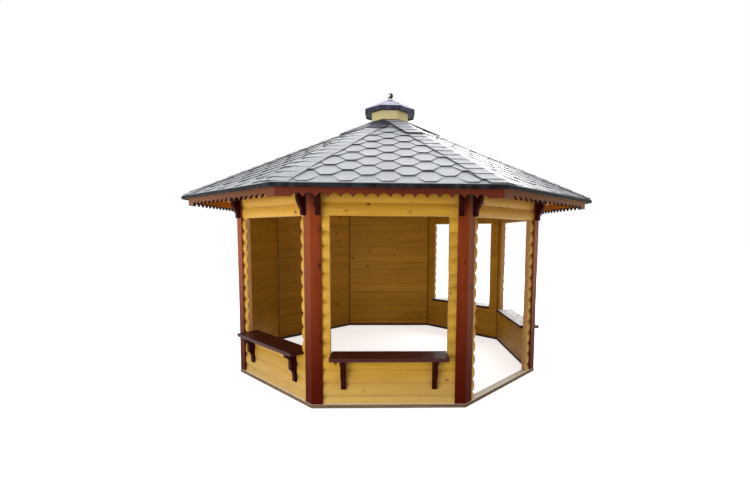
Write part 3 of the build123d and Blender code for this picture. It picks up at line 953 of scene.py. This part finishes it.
def apron():
    """Metal skirt round the cupola, over the shingles, with a hem and folded hip seams.

    Beside the capped hip the shingles lie over it: a slanting cut on one side, nearly all of it
    on the next.
    """
    (x0, out0), (x1, out1) = APRON_CUT
    shape = Shape()
    fold = DRUM + 0.002
    for k in range(SIDES):
        edge = fold + 0.02 if k == COVERED_SIDE else APRON_EDGE - 0.004
        rings = []
        for sign in (-1, 1):
            ring = []
            for o, z in apron_section(edge, fold):
                x = sign * o * TAN_H
                if k == CAPPED_HIP and sign > 0:
                    x = min(x, x0 + (o - out0) / (out1 - out0) * (x1 - x0))
                ring.append(at(x, o, z))
            rings.append(ring)
        panel = Shape()
        panel.loft(rings)
        shape.join(panel.turned(k))
        if k not in (CAPPED_HIP, COVERED_SIDE):
            shape.join(hip_seam(k, (APRON_EDGE - 0.006, fold + 0.008),
                                lambda o: apron_z(o, 0.001), 0.004, 0.004))
    return shape.piece("apron_sheet", [DARK_METAL], "dark_sheet_metal", ["roof_apron"])


def cupola_rim():
    """Dark rim of the cupola roof with a rolled lower edge, and the board inside it."""
    foot, top = CAP_BOTTOM, CAP_BOTTOM + CAP_RIM_H
    shape = Shape()
    sided_sheet(shape, [(CAP - 0.004, foot), (CAP - 0.001, foot + 0.002), (CAP, foot + 0.006),
                        (CAP - 0.002, foot + 0.012), (CAP - 0.002, top - 0.004),
                        (CAP, top - 0.001), (CAP - 0.012, top + 0.004), (CAP - 0.016, top - 0.006),
                        (CAP - 0.016, foot + 0.003), (CAP - 0.013, foot)])
    sided_sheet(shape, [(CAP - 0.017, foot + 0.022), (DRUM - 0.002, foot + 0.022),
                        (DRUM - 0.002, foot + 0.014), (CAP - 0.017, foot + 0.014)])
    return shape.piece("cupola_rim", [DARK_METAL], "dark_sheet_metal")


def cupola_panels():
    """Silver panels of the cupola roof with rolled hips."""
    rise = (CAP_PEAK - CAP_BOTTOM - CAP_RIM_H) / CAP
    inner = 0.03

    def z_at(out, more=0.0):
        return CAP_PEAK - out * rise + more

    shape = Shape()
    sided_sheet(shape, [(CAP - 0.001, z_at(CAP, -0.001)), (CAP - 0.004, z_at(CAP - 0.004, 0.0005)),
                        (inner, z_at(inner)), (inner, z_at(inner, -0.004)),
                        (CAP - 0.004, z_at(CAP, -0.004))])
    for k in range(SIDES):
        shape.join(hip_seam(k, (CAP - 0.006, inner + 0.002), lambda o: z_at(o, 0.0005),
                            0.007, 0.006))
    return shape.piece("cupola_panels", [SILVER], "silver_sheet_metal", ["cupola_roof"])


def finial():
    """Ball on a short neck with a small tip, turned from (radius, height) points."""
    top = high("finial_ball").z
    foot = high("finial_block").z
    ball = (top - foot - 0.012) / 2
    centre = foot + ball
    profile = [(0.021, foot - 0.002), (0.023, foot + 0.001), (0.021, foot + 0.004),
               (0.017, foot + 0.006)]
    for i in range(3, 25):
        angle = -math.pi / 2 + math.pi * i / 25
        profile.append((ball * math.cos(angle), centre + ball * math.sin(angle)))
    profile += [(0.006, centre + ball - 0.001), (0.0055, centre + ball + 0.002),
                (0.003, top - 0.004), (0.0006, top - 0.0002)]
    shape = Shape()
    shape.loft([circle(Vector((0, 0, z)), Vector((r, 0, 0)), Vector((0, r, 0)), 32)
                for r, z in profile])
    return shape.piece("finial", [BALL], "polished_ball", ["finial_ball"], smooth=50)


def screws():
    """Screw heads with a recess, down both legs of every corner board."""
    profile = [(0.0048, -0.001), (0.0048, 0.0006), (0.0036, 0.0014), (0.0017, 0.0015),
               (0.0012, 0.0004)]
    shape = Shape()
    for sign in (-1, 1):
        x = sign * (CORNER_FACE * TAN_H - SCREW_ASIDE)
        for z in SCREW_HEIGHTS:
            shape.loft([circle(at(x, CORNER_FACE + out, z + sign * 0.004),
                               Vector((radius, 0, 0)), Vector((0, 0, radius)), 10)
                        for radius, out in profile])
    return all_round(shape).piece("corner_board_screws", [SCREW], "dark_sheet_metal")


# ---- CAD parts that keep their shape ----
def dress(names, skin, bevel):
    """Gives CAD nodes a material and slightly eased edges."""
    for name in names:
        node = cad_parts[name]
        node.data.materials.clear()
        node.data.materials.append(skin)
        weld = node.modifiers.new("weld", "WELD")
        weld.merge_threshold = 0.00002
        ease = node.modifiers.new("ease", "BEVEL")
        ease.width = bevel
        ease.segments = 2
        ease.limit_method = "ANGLE"
        ease.angle_limit = math.radians(35)


def dress_red():
    corners = [f"corner_board_{a}_to_{b}" for a, b in zip(SIDE_NAMES, SIDE_NAMES[1:] + SIDE_NAMES)]
    # foot and head are painted shade, towards the ground and under the eaves.
    dress(corners, wood("red_stained_wood", grain_upright, *RED, specular=0.04, bloom=1.0,
                        foot=(srgb(84, 16, 2), 1.8, 1.0),
                        head=(srgb(66, 20, 15), 1.84, 0.9)), 0.003)
    # Fascia: sawn edges painted dark as shade, its side to the building bare above a height.
    dress(["fascia"], wood("red_stained_fascia", grain_by_side, *FASCIA_RED, specular=0.05,
                           bloom=0.8, cut=srgb(40, 12, 6), haze=srgb(250, 232, 186),
                           back=(srgb(204, 136, 28), low("fascia").z + 0.036)), 0.0015)


def dress_dark():
    plain = [f"window_sill_{SIDE_NAMES[k]}" for k in WINDOW_SIDES if k not in GLARE_SIDES]
    dress(plain, wood("dark_stained_sill", grain_by_side, *MAROON, knots=0.3, coat=0.15), 0.004)
    # Sills with a painted glare on top.
    glare_part = [f"window_sill_{SIDE_NAMES[k]}" for k in GLARE_SIDES]
    dress(glare_part, wood("sill_painted_glare", grain_by_side, *MAROON, knots=0.3, coat=0.15,
                     glare_colour=srgb(216, 220, 218)), 0.004)
    dress(["sill_brackets", "eave_brackets"],
          wood("dark_stained_bracket", grain_upright, *BRACKET, specular=0.04), 0.003)


def dress_frame():
    dress_red()
    dress_dark()
    roof = wood("pine_roof_timber", grain_by_side, *ROOF_PINE)
    dress(["wall_plate", "hip_rafters", "roof_hub"], roof, 0.002)
    drip = sheet_material("drip_edge_metal", srgb(58, 60, 62), srgb(14, 14, 16), 0.55, 0.0, 0.08)
    dress(["drip_edge"], drip, 0.0012)
    drum = wood("pine_cupola_boards", grain_by_side, *DRUM_PINE, knots=0.15)
    dress(["cupola_drum"], drum, 0.0015)
    dress(["base_ring"], weathered_material(), 0.003)
    dress(["finial_block"], block_material(), 0.003)


# ---- stage, light, camera -------
HEADING = 45.0                        # the camera looks this way, from +Y towards +X
AMBIENT = 0.45
FLOOR_GLOW = 0.72
FLOOR_HALF = 60.0


def seen_directly(g):
    """1 for camera, mirror and glass rays."""
    path = g.node("LightPath").outputs
    seen = g.math("MAXIMUM", path["Is Camera Ray"], path["Is Glossy Ray"])
    return g.math("MAXIMUM", seen, path["Is Transmission Ray"])


def white_world():
    """Even light all round, seen as white."""
    world = bpy.data.worlds.new("studio")
    bpy.context.scene.world = world
    g = Graph(world, "OutputWorld")
    mix = g.node("MixShader", Fac=seen_directly(g))
    ambient = g.node("Background", Color=(0.98, 0.99, 1.0, 1.0), Strength=AMBIENT)
    white = g.node("Background", Color=(1.0, 1.0, 1.0, 1.0), Strength=1.0)
    g.put(mix.inputs[1], ambient.outputs[0])
    g.put(mix.inputs[2], white.outputs[0])
    g.put(g.out.inputs[0], mix.outputs[0])


def floor():
    """Pale ground; for camera and mirror rays it is lifted to white and keeps the shadow."""
    mesh = bpy.data.meshes.new("floor")
    r = FLOOR_HALF
    mesh.from_pydata([(-r, -r, 0), (r, -r, 0), (r, r, 0), (-r, r, 0)], [], [(0, 1, 2, 3)])
    g = material("pale_floor")
    grain = g.noise(g.position(), 3.0, 4.0)
    color = g.blend(grain, (0.80, 0.80, 0.80, 1.0), (0.83, 0.83, 0.82, 1.0))
    glow = g.math("MULTIPLY", seen_directly(g), FLOOR_GLOW)
    both = g.node("AddShader")
    g.put(both.inputs[0], g.node("BsdfDiffuse", Color=color).outputs[0])
    g.put(both.inputs[1],
          g.node("Emission", Color=(1.0, 1.0, 1.0, 1.0), Strength=glow).outputs[0])
    g.put(g.out.inputs[0], both.outputs[0])
    mesh.materials.append(g.owner)
    obj = new_object("floor", mesh)


def lamp(name, heading, elevation, distance, size, power, aim=1.4, spread=180):
    """Square soft box at a compass heading round the building, aimed at its middle."""
    data = bpy.data.lights.new(name, "AREA")
    data.shape = "SQUARE"
    data.size = size
    data.energy = power
    data.spread = math.radians(spread)
    obj = new_object(name, data)
    angle, rise = math.radians(heading), math.radians(elevation)
    flat = distance * math.cos(rise)
    obj.location = (flat * math.sin(angle), flat * math.cos(angle), aim + distance * math.sin(rise))
    direction = Vector((0, 0, aim)) - obj.location
    obj.rotation_euler = direction.to_track_quat("-Z", "Y").to_euler()


def lights():
    """Lamp headings count clockwise from where the camera looks."""
    lamp("ground_fill", HEADING + 208, 4, 6.0, 2.6, 100.0, aim=1.1)
    lamp("side_fill", HEADING + 245, -18, 6.0, 2.0, 6.0, aim=2.3, spread=45)
    lamp("rim", HEADING + 50, 34, 12.0, 6.0, 640.0)
    lamp("sheen", HEADING + 6, 42, 12.0, 11.0, 1030.0, aim=2.5)
    lamp("low_sheen", HEADING + 18, 25, 12.0, 5.0, 340.0, aim=2.5)


def camera():
    data = bpy.data.cameras.new("camera")
    data.sensor_width = 36.0
    data.lens = 19.35
    data.shift_x = -0.0335
    data.shift_y = 0.0376
    data.clip_end = 200.0
    obj = new_object("camera", data)
    distance, aside, height = 5.580, -0.017, 1.692
    look = math.radians(HEADING)
    ahead = Vector((math.sin(look), math.cos(look), 0))
    right = Vector((math.cos(look), -math.sin(look), 0))
    place = -distance * ahead + aside * right + Vector((0, 0, height))
    heading, pitch, roll = look + math.radians(1.736), math.radians(-4.973), math.radians(0.40)
    turn = (Matrix.Rotation(-heading, 4, "Z") @ Matrix.Rotation(math.pi / 2 + pitch, 4, "X")
            @ Matrix.Rotation(roll, 4, "Z"))
    obj.matrix_world = Matrix.Translation(place) @ turn
    bpy.context.scene.camera = obj


# ---- build ----------------------
LOGS = log_material()
# Inside faces, with painted shade where two walls meet.
LOGS_INSIDE = wood("pine_log_boards_inside", grain_from_uv, *ROOM_PINE, knots=0.3, corner=True)
ENDS = end_material()
ROOF_WOOD = wood("pine_roof_boards", grain_from_uv, *ROOF_PINE)
SHINGLES = shingle_material()
BITUMEN = bitumen_material()
DARK_METAL = sheet_material("dark_sheet_metal", srgb(100, 100, 128), srgb(48, 44, 54),
                            0.5, 0.0, 0.12)
SILVER = sheet_material("silver_sheet_metal", srgb(200, 200, 212), srgb(160, 160, 184), 0.5, 0.5)
BALL = ball_material()
SCREW = screw_material()

camera()
white_world()
floor()
lights()
log_walls()
roof_boards()
for side_index in range(SIDES):
    shingle_side(side_index)
hip_caps()
apron()
cupola_rim()
cupola_panels()
finial()
screws()
dress_frame()

bpy.context.scene.view_settings.view_transform = "Standard"
